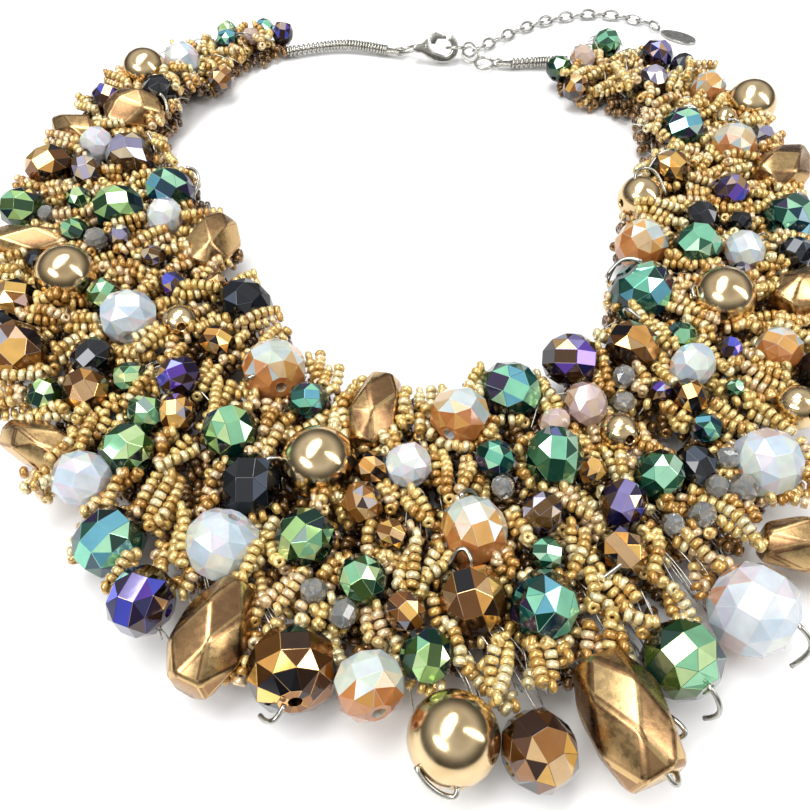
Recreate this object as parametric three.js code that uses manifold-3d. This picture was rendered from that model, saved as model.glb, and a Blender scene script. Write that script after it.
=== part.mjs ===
// Bib necklace: a dense collar of gold balls, cast nuggets and cut crystals on a bead mesh,
// wire-wrapped ends, a lobster clasp with a sprung lever, and an extender chain with a tag.
// Millimetres, +Z up. The wearer's front is towards -Y and the clasp is at the back, +Y.
import * as THREE from 'three';
import { ConvexGeometry } from 'three/addons/geometries/ConvexGeometry.js';
import { mergeVertices } from 'three/addons/utils/BufferGeometryUtils.js';
import ManifoldModule from 'manifold-3d';

const wasm = await ManifoldModule();
wasm.setup();

// Driving dimensions
const GAP = 0.3; // clear space between neighbouring solids
const MESH_HEIGHT = 5; // thickness of the bead mesh under the large beads
const SEED_STRING = 2.2; // width of a string of seed beads
const MESH_LOOPS = 3; // raised seed bead loops on each length of mesh
const BEAD_HOLE = 1.8; // drilled hole of a large bead
const WRAP_WIDTH = 3.4; // close-wound wire over the cord ends
const RING_WIRE = 0.9; // jump ring wire
const CLASP_LENGTH = 14;
const CLASP_WIDTH = 8.6;
const CLASP_THICKNESS = 2.8;
const CLASP_LEAN = 62; // degrees that the clasp leans up from flat
const CHAIN_WIDTH = 2.4;
const TAG_LENGTH = 12;
const TAG_WIDTH = 7;
const TAG_THICKNESS = 0.8;

// Large beads. x, y, z is the middle, across the width, along the length on the hole's line,
// turn the plan bearing of the hole and rise its slope, in degrees.
const COLUMNS = ['name', 'cut', 'x', 'y', 'z', 'across', 'along', 'turn', 'rise'];
const LARGE_BEADS = [
  ['gold_ball_1', 'ball', -75.5, 125, 9, 13, 13, 60, 0],
  ['gold_ball_2', 'ball', -76, 35.5, 10, 14, 14, 20, 0],
  ['gold_ball_3', 'ball', -16, -14.5, 10, 14, 14, 30, 0],
  ['gold_ball_4', 'ball', 7.5, -63.5, 9, 14, 14, -85, -8],
  ['gold_ball_5', 'ball', 69, 29, 10, 14, 14, 175, 5],
  ['gold_ball_6', 'ball', 58, 66, 8.5, 11, 11, 20, 0],
  ['gold_ball_7', 'ball', 96, 107.5, 9, 13.5, 13.5, 100, 0],
  ['gold_nugget_1', 'nugget', -74, 102.5, 9, 13, 15, 20, 0],
  ['gold_nugget_2', 'nugget', -88, 95, 8, 10, 13, -30, 0],
  ['gold_nugget_3', 'nugget', -45, 48.5, 9, 12, 15, 75, 10],
  ['gold_nugget_4', 'nugget', -89, 48, 8, 11, 20, 5, 0],
  ['gold_nugget_5', 'nugget', -68.5, -9.5, 8, 9.5, 15, -25, 0],
  ['gold_nugget_6', 'nugget', -31, -48, 9, 12, 18, 70, 0],
  ['gold_nugget_7', 'nugget', -6, -2, 9, 11, 15, 75, 5],
  ['gold_nugget_8', 'nugget', 34, -60.5, 9.5, 14, 19, 110, 0],
  ['gold_nugget_9', 'nugget', 72.5, -31, 8, 11, 20, -5, 0],
  ['gold_nugget_10', 'nugget', 88, 31, 9, 13, 16, 35, 0],
  ['gold_nugget_11', 'nugget', 96, 76, 9, 14, 16, 40, 0],
  ['smoky_crystal_1', 'crystal', -71, 83, 9, 12, 10.5, 100, 20],
  ['smoky_crystal_2', 'crystal', 19.5, -65, 8, 11.5, 10, 30, 0],
  ['teal_crystal_1', 'crystal', -58, 68, 9, 12, 10.5, 50, 35],
  ['teal_crystal_2', 'crystal', -51.5, -30, 8.5, 12, 10.5, 140, 10],
  ['teal_crystal_3', 'crystal', 21, 3.5, 9, 12, 10.5, 60, 30],
  ['teal_crystal_4', 'crystal', 52, 32, 9, 14, 11.5, 150, 45],
  ['teal_crystal_5', 'crystal', 92, 57, 9, 12, 10.5, 40, 0],
  ['copper_crystal_1', 'crystal', -85, 30, 7.5, 12, 10.5, 100, 0],
  ['copper_crystal_2', 'crystal', -17.5, -53, 9, 14, 11.5, -80, 15],
  ['copper_crystal_3', 'crystal', 11, -41.5, 9, 12, 10.5, 10, 15],
  ['black_crystal_1', 'crystal', -35, 28, 8.5, 12, 10.5, 60, 0],
  ['black_crystal_2', 'crystal', -28, -19, 9, 12, 10.5, 0, 0],
  ['black_crystal_3', 'crystal', 86.5, 8, 8.5, 12.5, 11, 60, 0],
  ['amber_crystal_1', 'crystal', -80, 14, 9, 13, 11, 40, 20],
  ['opal_1', 'crystal', -26.5, 9, 9, 12.5, 11, -70, 10],
  ['opal_2', 'crystal', -31.5, -31, 9, 12.5, 11, 50, 50],
  ['opal_3', 'crystal', 12, -28.5, 9, 12, 10.5, 20, 0],
  ['opal_4', 'crystal', 57, -43, 9, 15, 13, -40, 5],
  ['opal_5', 'crystal', 67, -14, 9, 12.5, 12, 15, 0],
  ['opal_6', 'crystal', 86, 87, 9, 11.5, 10.5, 60, 15],
  ['opal_7', 'crystal', 55, 48, 9, 11.5, 10.5, 120, 25],
  ['green_crystal_1', 'crystal', 43, -52, 9, 12.5, 11, -60, 5],
];

// Small crystals and beads that share the mesh's own wire: x, y, z of the middle, and width.
const SMALL_BEADS = [
  [-38.5, 153, 4.5, 6.5], [-44.5, 156, 4.5, 5.5], [-48, 150, 5, 5], [-56, 154, 4.5, 6],
  [-55, 147, 5, 6.5], [-54, 125, 5, 7], [-66, 131.5, 7, 10], [-69, 112.5, 8, 9], [-83, 109, 8, 8],
  [-80, 86, 9, 8], [-90, 77, 8, 11], [-80, 75, 8, 8], [-92.5, 61, 7.5, 10], [-79.5, 64, 8, 6],
  [-68.5, 59, 9, 11], [-57, 56.5, 9, 8], [-77, 51, 9, 6], [-71.5, 48, 9, 5], [-66, 49, 9, 5],
  [-57, 42, 9, 5], [-84, 20, 7, 9], [-58.5, 22.5, 9, 11], [-66, 30.5, 8, 7], [-51, 33.5, 8, 6],
  [-47.5, 21.5, 8.5, 7], [-42, 35, 7, 5], [-39, 16, 8, 7], [-64, 12, 8, 8], [-62.5, 2.5, 8.5, 9],
  [-55, 6.5, 8, 6.5], [-71, 2, 8, 6.5], [-50, -3, 8.5, 7], [-45, 6, 9, 8], [-44, -3, 8.5, 7],
  [-58.5, -18, 8.5, 10], [-51.5, -12, 9, 9.5], [-33, -8, 9, 10], [-19, 0, 9, 7], [-43, -42, 8.5, 10.5],
  [-6, -16, 9, 6], [0, -15.5, 9, 8], [-7.5, -23.5, 9, 7], [-2.5, -30, 9, 5.5], [-17, -30.5, 9, 9.5],
  [-7, -38.5, 9, 8], [0, -44, 9, 6.5], [-5.5, -56, 8.5, 10], [3.3, -51.5, 9, 8], [10.5, -4, 9, 10.5],
  [28.5, -5.5, 9, 5.5], [35, -1, 9, 8], [33.5, 10.5, 9, 10.5], [40.5, -8, 9, 7], [28, -14, 9, 10.5],
  [16.5, -14, 9, 7], [24, -25.5, 9, 7], [24, -33.5, 9, 5.5], [38.5, -23.5, 9, 8], [37, -33, 8.5, 8],
  [33.5, -16.5, 9, 5], [22.5, -43, 9, 10.5], [46.5, 14, 9, 10], [55.5, 0.5, 9, 7], [57, -7, 9, 5.5],
  [46, -17.5, 9, 8.5], [53.5, -15, 8, 7.5], [60.5, -20.5, 9, 5], [76, -1.5, 8.5, 8], [58, 9, 9, 8.5],
  [58, 18, 8, 6], [66.5, 13.5, 9, 5], [77, 14, 8.5, 8.5], [67, 45.5, 9, 10], [77.5, 44, 9, 8.5],
  [89, 43.5, 8, 8], [70, 55.5, 9, 8], [79, 54, 9, 5], [79, 65.5, 9, 8.5], [66.5, 75, 9, 9],
  [74, 94, 8.5, 10.5], [93, 89.5, 8, 7], [86.5, 99, 8, 6], [86, 115.5, 7.5, 9], [71, 119.5, 7.5, 8],
  [82, 130, 6, 7], [75.5, 136, 6, 9], [62, 144.5, 5.5, 8], [53.5, 136.5, 5, 7.5], [46, 131.5, 4.5, 7],
  [49.5, 120, 5, 7],
];

// Ribs across the collar, from the left end round the front to the right end:
// x, y at the neck edge and x, y at the outer edge.
const RIBS = [
  [-37, 146, -38, 155], [-45, 141, -52, 159], [-50, 133, -66, 152], [-53, 121, -80, 135],
  [-62, 109, -89, 119], [-64, 95, -96, 100], [-60, 82, -97, 84], [-50, 70, -99, 66],
  [-40, 57, -100, 50], [-34, 44, -97, 36], [-28, 32, -92, 20], [-22, 19, -88, 4],
  [-14, 11, -78, -14], [-6, 7, -62, -31], [0, 6, -46, -46], [6, 6, -30, -56],
  [12, 8, -12, -60], [18, 10, 8, -61], [26, 13, 26, -61], [34, 17, 44, -53],
  [41, 21, 60, -36], [44, 32, 74, -26], [46, 40, 78, -9], [48, 48, 91, 8],
  [50, 56, 96, 28], [52, 64, 98, 46], [56, 73, 100, 60], [61, 82, 101, 74],
  [62, 90, 101, 88], [62, 98, 102, 100], [64, 107, 98, 114], [56, 116, 90, 127],
  [46, 118, 80, 139], [44, 127, 66, 149], [50.6, 136, 55, 148],
];
// First and last rib of each length of mesh
const MESH_LENGTHS = [[0, 4], [4, 8], [8, 12], [12, 16], [16, 20], [20, 24], [24, 29], [29, 34]];

// The clasp end, along the necklace's back
const LEFT_WRAP = [[-35, 149, 2.2], [-27, 151.5, 2.4], [-19, 152.5, 2.6], [-12, 151.5, 2.4], [-6, 150, 2]];
const RIGHT_WRAP = [[33, 142, 2], [40, 142.5, 2.2], [44.5, 142.5, 2.4], [48.3, 142.2, 2.4]];
const CLASP_MIDDLE = [9.6, 146.4, 4.8];
const CHAIN_ROUTE = [[22.5, 151, 1.6], [29, 157, 1.3], [36, 163, 1.3], [43, 168, 1.3], [50, 171.5, 1.3],
  [58, 174, 1.3], [66, 174.5, 1.3], [74, 172.5, 1.3], [79.5, 169.5, 1.4]];
const TAG_MIDDLE = [89.2, 161.3, 0.5];
const TAG_TURN = -37;

const MATERIALS = {
  gold: { color: 0xd9c69a, roughness: 0.25, metalness: 1 },
  bronze: { color: 0xc7ab7e, roughness: 0.4, metalness: 1 },
  smoky: { color: 0x6b5c5a, roughness: 0.1, metalness: 0.1 },
  teal: { color: 0x4fb0b0, roughness: 0.1, metalness: 0.2 },
  copper: { color: 0xc98a4a, roughness: 0.2, metalness: 0.6 },
  black: { color: 0x15181c, roughness: 0.12, metalness: 0.1 },
  amber: { color: 0x7a4a1e, roughness: 0.12, metalness: 0.1 },
  opal: { color: 0xc9d3dc, roughness: 0.15, metalness: 0 },
  green: { color: 0x5f9c62, roughness: 0.1, metalness: 0.2 },
  seed: { color: 0xc2a25c, roughness: 0.3, metalness: 0.3 },
  silver: { color: 0xc4c4c0, roughness: 0.3, metalness: 1 },
};

const rad = THREE.MathUtils.degToRad;

// A repeatable run of numbers from 0 to 1
function dice(seed) {
  let state = seed;
  return () => {
    state = (state * 1664525 + 1013904223) % 4294967296;
    return state / 4294967296;
  };
}

function toSolid(geometry) {
  const bare = geometry.clone();
  bare.deleteAttribute('normal');
  bare.deleteAttribute('uv');
  const merged = mergeVertices(bare, 1e-4);
  return new wasm.Manifold(new wasm.Mesh({
    numProp: 3,
    vertProperties: new Float32Array(merged.attributes.position.array),
    triVerts: new Uint32Array(merged.index.array),
  }));
}

function toGeometry(solid) {
  const mesh = solid.getMesh();
  const geometry = new THREE.BufferGeometry();
  geometry.setAttribute('position', new THREE.BufferAttribute(new Float32Array(mesh.vertProperties), 3));
  geometry.setIndex(new THREE.BufferAttribute(new Uint32Array(mesh.triVerts), 1));
  const faceted = geometry.toNonIndexed();
  faceted.computeVertexNormals();
  return faceted;
}

function named(name, geometry, look) {
  const mesh = new THREE.Mesh(geometry, new THREE.MeshStandardMaterial(MATERIALS[look]));
  mesh.name = name;
  return mesh;
}

function largestPiece(solid) {
  const pieces = solid.decompose();
  pieces.sort((a, b) => b.volume() - a.volume());
  return pieces[0];
}

function tube(points, width, steps, sides) {
  const curve = new THREE.CatmullRomCurve3(points.map((p) => new THREE.Vector3(...p)));
  const outline = new THREE.Shape();
  for (let i = 0; i < sides; i += 1) {
    const angle = (i / sides) * Math.PI * 2;
    const x = (Math.cos(angle) * width) / 2;
    const y = (Math.sin(angle) * width) / 2;
    if (i === 0) outline.moveTo(x, y);
    else outline.lineTo(x, y);
  }
  outline.closePath();
  return new THREE.ExtrudeGeometry(outline, { steps, extrudePath: curve, bevelEnabled: false });
}

// Turns a shape whose hole runs along Z so that the hole follows the bead's bearing
function aim(geometry, bead) {
  const way = new THREE.Vector3(
    Math.cos(rad(bead.turn)) * Math.cos(rad(bead.rise)),
    Math.sin(rad(bead.turn)) * Math.cos(rad(bead.rise)),
    Math.sin(rad(bead.rise)),
  );
  geometry.applyQuaternion(new THREE.Quaternion().setFromUnitVectors(new THREE.Vector3(0, 0, 1), way));
  geometry.translate(bead.x, bead.y, bead.z);
  return geometry;
}

function ball(bead) {
  const radius = bead.across / 2;
  const hole = BEAD_HOLE / 2;
  const start = Math.asin(hole / radius);
  const profile = [];
  const rows = 8;
  for (let i = 0; i <= rows; i += 1) {
    const angle = start + ((Math.PI - 2 * start) * i) / rows;
    profile.push(new THREE.Vector2(Math.sin(angle) * radius, -Math.cos(angle) * radius));
  }
  profile.push(profile[0].clone());
  const turned = new THREE.LatheGeometry(profile, 12);
  turned.rotateX(Math.PI / 2);
  return aim(turned, bead);
}

// Cut crystal: rings of corners, every second ring turned half a step, drawn over by flat facets
function crystal(bead) {
  const radius = bead.across / 2;
  const half = bead.along / 2;
  const large = bead.cut === 'crystal';
  const sides = large ? 8 : 6;
  const rings = large ? [[0.5, -1], [0.9, -0.5], [1, 0], [0.9, 0.5], [0.5, 1]] : [[0.6, -1], [1, 0], [0.6, 1]];
  const corners = [];
  rings.forEach(([out, up], ring) => {
    for (let i = 0; i < sides; i += 1) {
      const angle = ((i + (ring % 2) / 2) / sides) * Math.PI * 2;
      corners.push(new THREE.Vector3(Math.cos(angle) * radius * out, Math.sin(angle) * radius * out, half * up));
    }
  });
  return aim(new ConvexGeometry(corners), bead);
}

// Cast nugget: a lump with large flats, from corners spread over an uneven egg
function nugget(bead, index) {
  const roll = dice(97 + index * 31);
  const corners = [];
  const count = 16;
  for (let i = 0; i < count; i += 1) {
    const up = 1 - (2 * (i + 0.5)) / count;
    const round = Math.sqrt(1 - up * up);
    const angle = i * 2.4;
    const out = 0.88 + roll() * 0.14;
    corners.push(new THREE.Vector3(
      (Math.cos(angle) * round * out * bead.across) / 2,
      (Math.sin(angle) * round * out * bead.across * 0.92) / 2,
      (Math.sign(up) * Math.abs(up) ** 0.8 * out * bead.along) / 2,
    ));
  }
  return aim(new ConvexGeometry(corners), bead);
}

function drilled(geometry, bead) {
  const drill = aim(new THREE.CylinderGeometry(BEAD_HOLE / 2, BEAD_HOLE / 2, bead.along * 1.4, 6)
    .rotateX(Math.PI / 2), bead);
  return toSolid(geometry).subtract(toSolid(drill));
}

// Moves beads that press into each other apart, evenly, until each pair has its gap
function settle(beads, fixed) {
  for (let pass = 0; pass < 60; pass += 1) {
    beads.forEach((bead, i) => {
      const others = fixed.concat(beads.slice(i + 1));
      others.forEach((other) => {
        const away = [bead.x - other.x, bead.y - other.y, bead.z - other.z];
        const distance = Math.hypot(...away) || 1;
        const short = bead.reach + other.reach + GAP - distance;
        if (short <= 0) return;
        const share = fixed.includes(other) ? 1 : 0.5;
        const push = (short * share) / distance;
        bead.x += away[0] * push;
        bead.y += away[1] * push;
        bead.z += away[2] * push * 0.6;
        if (share === 1) return;
        other.x -= away[0] * push;
        other.y -= away[1] * push;
        other.z -= away[2] * push * 0.6;
      });
      bead.z = Math.max(bead.z, bead.reach + 0.3);
    });
  }
}

function largeBeads() {
  const beads = LARGE_BEADS.map((row) => Object.fromEntries(COLUMNS.map((key, i) => [key, row[i]])));
  beads.forEach((bead) => {
    bead.reach = (bead.across * 0.62 + bead.along * 0.38) / 2;
  });
  settle(beads, []);
  return beads;
}

function smallBeads(large) {
  const beads = SMALL_BEADS.map(([x, y, z, across]) => ({
    x, y, z, across, along: across * 0.85, turn: x * 7, rise: 20, reach: (across * 0.95) / 2,
  }));
  settle(beads, large);
  return beads;
}

function shapeOf(bead, index) {
  if (bead.cut === 'ball') return toSolid(ball(bead));
  const geometry = bead.cut === 'nugget' ? nugget(bead, index) : crystal(bead);
  return drilled(geometry, bead);
}

function grown(bead, index) {
  const larger = { ...bead, across: bead.across + 2 * GAP, along: bead.along + 2 * GAP };
  if (bead.cut === 'ball') {
    return toSolid(aim(new THREE.SphereGeometry(larger.across * 0.525, 10, 7), larger));
  }
  return toSolid(bead.cut === 'nugget' ? nugget(larger, index) : crystal(larger));
}

function mix(a, b, t) {
  return a.map((value, i) => value + (b[i] - value) * t);
}

// The twist of wire that carries a small bead up from the mesh
function stem(bead, radius) {
  const post = new THREE.CylinderGeometry(radius, radius, bead.z - 1, 5).rotateX(Math.PI / 2);
  post.translate(bead.x, bead.y, (bead.z + 1) / 2);
  return toSolid(post);
}

// One length of bead mesh: the crocheted wire with its seed beads, raised loops of seed beads
// and the small crystals that share its wire, hollowed where the large beads sit.
function beadMesh(order, small, cutters) {
  const [first, last] = MESH_LENGTHS[order];
  const ribs = RIBS.slice(first, last + 1);
  const clear = 0.02;
  const trimmed = ribs.map((rib, i) => {
    if (i === 0 && order > 0) return mix(rib, ribs[1], clear);
    if (i === ribs.length - 1 && order < MESH_LENGTHS.length - 1) return mix(rib, ribs[i - 1], clear);
    return rib;
  });
  const outline = new THREE.Shape(meshOutline(trimmed).map(([x, y]) => new THREE.Vector2(x, y)));
  let solid = toSolid(new THREE.ExtrudeGeometry(outline, { depth: MESH_HEIGHT, bevelEnabled: false }));

  const roll = dice(11 + order * 7);
  for (let i = 0; i < MESH_LOOPS; i += 1) {
    const along = 0.12 + (0.76 * i) / (MESH_LOOPS - 1);
    const place = along * (ribs.length - 1);
    const rib = mix(ribs[Math.floor(place)], ribs[Math.ceil(place)], place % 1);
    const from = 0.08 + roll() * 0.5;
    const to = from + 0.32;
    const high = 9 + roll() * 2;
    const spot = (t, z) => [rib[0] + (rib[2] - rib[0]) * t, rib[1] + (rib[3] - rib[1]) * t, z];
    const route = [spot(from, 2), spot(from + 0.08, high - 1), spot(to - 0.08, high), spot(to, 2)];
    solid = solid.add(toSolid(tube(route, SEED_STRING, 5, 5)));
  }
  small.forEach((bead) => {
    if (bead.order === order) solid = solid.add(toSolid(crystal(bead))).add(stem(bead, 0.9));
  });
  small.forEach((bead) => {
    if (Math.abs(bead.order - order) !== 1) return;
    solid = solid.subtract(grown(bead, 0)).subtract(stem(bead, 0.9 + GAP));
  });
  cutters.forEach((cutter) => {
    solid = solid.subtract(cutter);
  });
  return largestPiece(solid);
}

// Outline of a length of mesh: out along the neck edge and back along the outer edge
function meshOutline(ribs) {
  return ribs.map((rib) => [rib[0], rib[1]]).concat(ribs.slice().reverse().map((rib) => [rib[2], rib[3]]));
}

function inside(outline, x, y) {
  let within = false;
  outline.forEach(([ax, ay], i) => {
    const [bx, by] = outline[(i + 1) % outline.length];
    if ((ay > y) !== (by > y) && x < ax + ((bx - ax) * (y - ay)) / (by - ay)) within = !within;
  });
  return within;
}

function meshOrder(bead) {
  return MESH_LENGTHS.findIndex(([first, last]) => inside(meshOutline(RIBS.slice(first, last + 1)), bead.x, bead.y));
}

// Close-wound wire over the cord end, with the twisted wire hammered flat beyond it
function wireWrap(route, tip) {
  const end = route[route.length - 1];
  const wrap = toSolid(tube(route, WRAP_WIDTH, 8, 10));
  const flat = new THREE.BoxGeometry(5.4, 3.2, 1.4);
  const way = Math.atan2(tip[1] - end[1], tip[0] - end[0]);
  flat.rotateZ(way);
  flat.translate((tip[0] + end[0]) / 2, (tip[1] + end[1]) / 2, end[2] - 0.2);
  return wrap.add(toSolid(flat));
}

function ring(x, y, z, across, wire, lean, turn) {
  const torus = new THREE.TorusGeometry((across - wire) / 2, wire / 2, 5, 12);
  torus.rotateX(rad(lean));
  torus.rotateZ(rad(turn));
  torus.translate(x, y, z);
  return torus;
}

// Places a shape drawn flat about its own middle where the clasp lies, leaned up on its edge
function onClasp(geometry) {
  geometry.rotateX(rad(CLASP_LEAN));
  geometry.translate(...CLASP_MIDDLE);
  return geometry;
}

function plate(outline, thickness) {
  const geometry = new THREE.ExtrudeGeometry(outline, {
    depth: thickness, bevelEnabled: false, curveSegments: 6,
  });
  geometry.translate(0, 0, -thickness / 2);
  return geometry;
}

// Clasp body: eye at the left, wedge-shaped housing, open hook at the right
function claspBody() {
  const half = CLASP_LENGTH / 2;
  const wide = CLASP_WIDTH / 2;
  const outline = new THREE.Shape();
  outline.moveTo(-half, 0.9);
  outline.lineTo(-half, -0.9);
  outline.lineTo(-half + 1.2, -1.5);
  outline.lineTo(-half + 2.6, -1.6);
  outline.quadraticCurveTo(-2.5, -wide, 2, -wide);
  outline.absarc(half - wide, 0, wide, -Math.PI / 2, Math.PI * 0.36, false);
  outline.lineTo(half - wide + 0.75, 2.05);
  outline.absarc(half - wide, 0, wide - 2.1, Math.PI * 0.36, -Math.PI / 2, true);
  outline.quadraticCurveTo(-1.4, -2.0, -1.9, 0.3);
  outline.lineTo(-2.6, 2.6);
  outline.lineTo(-half + 2.6, 1.7);
  outline.lineTo(-half + 1.2, 1.5);
  outline.closePath();
  const eye = new THREE.CylinderGeometry(0.6, 0.6, 8, 10).rotateX(Math.PI / 2);
  eye.translate(-half + 1.25, 0, 0);
  return toSolid(onClasp(plate(outline, CLASP_THICKNESS))).subtract(toSolid(onClasp(eye)));
}

// Lever: pivots at its left end and closes the hook's mouth
function claspLever() {
  const outline = new THREE.Shape();
  outline.moveTo(-2.1, 3.1);
  outline.lineTo(-1.5, 1.1);
  outline.lineTo(-0.3, 0.9);
  outline.lineTo(0.6, 2.6);
  outline.lineTo(3.1, 2.5);
  outline.lineTo(3.35, 3.55);
  outline.lineTo(1.0, 4.3);
  outline.lineTo(-1.2, 4.3);
  outline.closePath();
  return onClasp(plate(outline, 1.8));
}

function extenderChain() {
  return tube(CHAIN_ROUTE, CHAIN_WIDTH, 18, 6);
}

function tag() {
  const outline = new THREE.Shape();
  outline.absellipse(0, 0, TAG_LENGTH / 2, TAG_WIDTH / 2, 0, Math.PI * 2);
  const plateSolid = new THREE.ExtrudeGeometry(outline, {
    depth: TAG_THICKNESS, bevelEnabled: false, curveSegments: 10,
  });
  plateSolid.translate(0, 0, -TAG_THICKNESS / 2);
  const hole = new THREE.CylinderGeometry(0.75, 0.75, 4, 10).rotateX(Math.PI / 2);
  hole.translate(-TAG_LENGTH / 2 + 1.7, 0, 0);
  [plateSolid, hole].forEach((shape) => {
    shape.rotateZ(rad(TAG_TURN));
    shape.translate(...TAG_MIDDLE);
  });
  return toSolid(plateSolid).subtract(toSolid(hole));
}

function lookOf(bead) {
  if (bead.cut === 'ball') return 'gold';
  if (bead.cut === 'nugget') return 'bronze';
  return bead.name.split('_')[0];
}

function buildNecklace() {
  const group = new THREE.Group();
  group.name = 'bib_necklace';
  const large = largeBeads();
  const small = smallBeads(large);
  small.forEach((bead) => {
    bead.order = meshOrder(bead);
  });
  const cutters = large.map(grown);
  large.forEach((bead, i) => {
    let solid = shapeOf(bead, i);
    large.slice(i + 1).forEach((other, j) => {
      const gap = Math.hypot(bead.x - other.x, bead.y - other.y, bead.z - other.z);
      const near = gap < (Math.max(bead.across, bead.along) + Math.max(other.across, other.along)) / 2 + 1;
      if (near) solid = solid.subtract(cutters[i + 1 + j]);
    });
    group.add(named(bead.name, toGeometry(largestPiece(solid)), lookOf(bead)));
  });
  MESH_LENGTHS.forEach((length, order) => {
    const near = cutters.filter((cutter, i) => {
      const bead = large[i];
      const [first, last] = length;
      return RIBS.slice(first, last + 1).some((rib) => {
        const middle = Math.hypot((rib[0] + rib[2]) / 2 - bead.x, (rib[1] + rib[3]) / 2 - bead.y);
        return middle < Math.hypot(rib[0] - rib[2], rib[1] - rib[3]) / 2 + 24;
      });
    });
    group.add(named(`bead_mesh_${order + 1}`, toGeometry(beadMesh(order, small, near)), 'seed'));
  });
  group.add(named('wire_wrap_left', toGeometry(wireWrap(LEFT_WRAP, [-1.8, 149])), 'silver'));
  group.add(named('wire_wrap_right', toGeometry(wireWrap(RIGHT_WRAP.slice().reverse(), [28.8, 142.2])), 'silver'));
  group.add(named('jump_ring_left', ring(0.6, 148.3, 2.6, 4.2, RING_WIRE, 20, 10), 'silver'));
  group.add(named('jump_ring_right', ring(24.6, 142.8, 1.6, 6, RING_WIRE, 8, 0), 'silver'));
  group.add(named('jump_ring_hook', ring(15.6, 146.4, 4.8, 6, RING_WIRE, CLASP_LEAN - 90, 0), 'silver'));
  group.add(named('clasp_body', toGeometry(claspBody()), 'silver'));
  group.add(named('clasp_lever', toGeometry(toSolid(claspLever())), 'silver'));
  group.add(named('extender_chain', extenderChain(), 'silver'));
  group.add(named('tag_ring', ring(82.2, 166.6, 1.7, 4.4, 0.8, 25, 50), 'silver'));
  group.add(named('tag', toGeometry(tag()), 'silver'));
  return group;
}

// Moves the whole necklace so that its box stands on z = 0 with its middle at x = y = 0
function centred(group) {
  const box = new THREE.Box3().setFromObject(group);
  const middle = box.getCenter(new THREE.Vector3());
  group.children.forEach((mesh) => {
    mesh.geometry.translate(-middle.x, -middle.y, -box.min.z);
  });
  return group;
}

export default centred(buildNecklace());
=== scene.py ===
"""Bib necklace: gold balls, satin nuggets and cut crystals on a bed of seed beads and wire.

The necklace lies on a pale table. Everything is in metres in the frame's own axes: the wearer's
front is towards -Y, the clasp is at the back, and the bead places are charted in millimetres.
"""

import math
import random

import bmesh
import bpy
from mathutils import Matrix, Vector


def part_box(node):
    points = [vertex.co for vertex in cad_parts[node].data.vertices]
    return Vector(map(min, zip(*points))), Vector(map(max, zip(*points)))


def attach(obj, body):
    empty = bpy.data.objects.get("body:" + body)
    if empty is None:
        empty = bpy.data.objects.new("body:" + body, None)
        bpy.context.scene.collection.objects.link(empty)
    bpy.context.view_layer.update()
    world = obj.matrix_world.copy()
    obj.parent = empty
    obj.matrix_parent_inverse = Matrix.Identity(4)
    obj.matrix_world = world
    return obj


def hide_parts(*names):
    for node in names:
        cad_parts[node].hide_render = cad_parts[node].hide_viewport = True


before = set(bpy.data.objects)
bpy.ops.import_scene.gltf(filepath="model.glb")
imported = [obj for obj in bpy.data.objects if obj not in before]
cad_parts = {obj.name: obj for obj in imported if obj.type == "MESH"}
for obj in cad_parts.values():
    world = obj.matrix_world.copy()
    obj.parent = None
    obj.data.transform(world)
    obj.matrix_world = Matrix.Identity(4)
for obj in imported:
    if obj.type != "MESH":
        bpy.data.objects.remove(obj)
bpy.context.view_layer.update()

# ---------------------------------------------------------------- gold balls
# Seven hollow balls, spun from thin brass and plated in a pale champagne gold that is polished
# like a mirror. Each is drilled through, with a rim turned in at both ends of the hole.
MM = 0.001


def node_middle(node):
    """The middle of a node's box."""
    lowest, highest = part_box(node)
    return (Vector(lowest) + Vector(highest)) / 2


# The chart's own middle, in the frame
CHART = node_middle("gold_ball_1") - Vector((-75.5, 125, 9)) * MM


def charted(x, y, z):
    """A place on the bead chart, in the frame's metres."""
    return CHART + Vector((x, y, z)) * MM


def paint(red, green, blue, cover=1.0):
    """A colour given as a painter reads it, 0 to 255, as the shader's own numbers."""
    return tuple(
        (c / 255 / 12.92) if c <= 10 else ((c / 255 + 0.055) / 1.055) ** 2.4
        for c in (red, green, blue)
    ) + (cover,)


def finish(name, **sockets):
    """A new material with its Principled sockets set, and its nodes and links at hand."""
    material = bpy.data.materials.new(name)
    material.use_nodes = True
    shader = material.node_tree.nodes["Principled BSDF"]
    for socket, value in sockets.items():
        shader.inputs[socket.replace("_", " ")].default_value = value
    return material, material.node_tree.nodes, material.node_tree.links, shader


def make_speckle_group():
    """Shared effect: one noise, given as a mask and as a bump."""
    group = bpy.data.node_groups.new("surface_speckle", "ShaderNodeTree")
    for name, kind, value in (("Size", "NodeSocketFloat", 400.0), ("Depth", "NodeSocketFloat", 0.1)):
        socket = group.interface.new_socket(name, in_out="INPUT", socket_type=kind)
        socket.default_value = value
    group.interface.new_socket("Mask", in_out="OUTPUT", socket_type="NodeSocketFloat")
    group.interface.new_socket("Normal", in_out="OUTPUT", socket_type="NodeSocketVector")
    nodes, links = group.nodes, group.links
    source = nodes.new("NodeGroupInput")
    result = nodes.new("NodeGroupOutput")
    place = nodes.new("ShaderNodeTexCoord")
    noise = nodes.new("ShaderNodeTexNoise")
    noise.inputs["Detail"].default_value = 5.0
    links.new(place.outputs["Object"], noise.inputs["Vector"])
    links.new(source.outputs["Size"], noise.inputs["Scale"])
    bump = nodes.new("ShaderNodeBump")
    bump.inputs["Distance"].default_value = 0.0002
    links.new(source.outputs["Depth"], bump.inputs["Strength"])
    links.new(noise.outputs["Fac"], bump.inputs["Height"])
    links.new(noise.outputs["Fac"], result.inputs["Mask"])
    links.new(bump.outputs["Normal"], result.inputs["Normal"])
    return group


SPECKLE = make_speckle_group()


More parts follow.
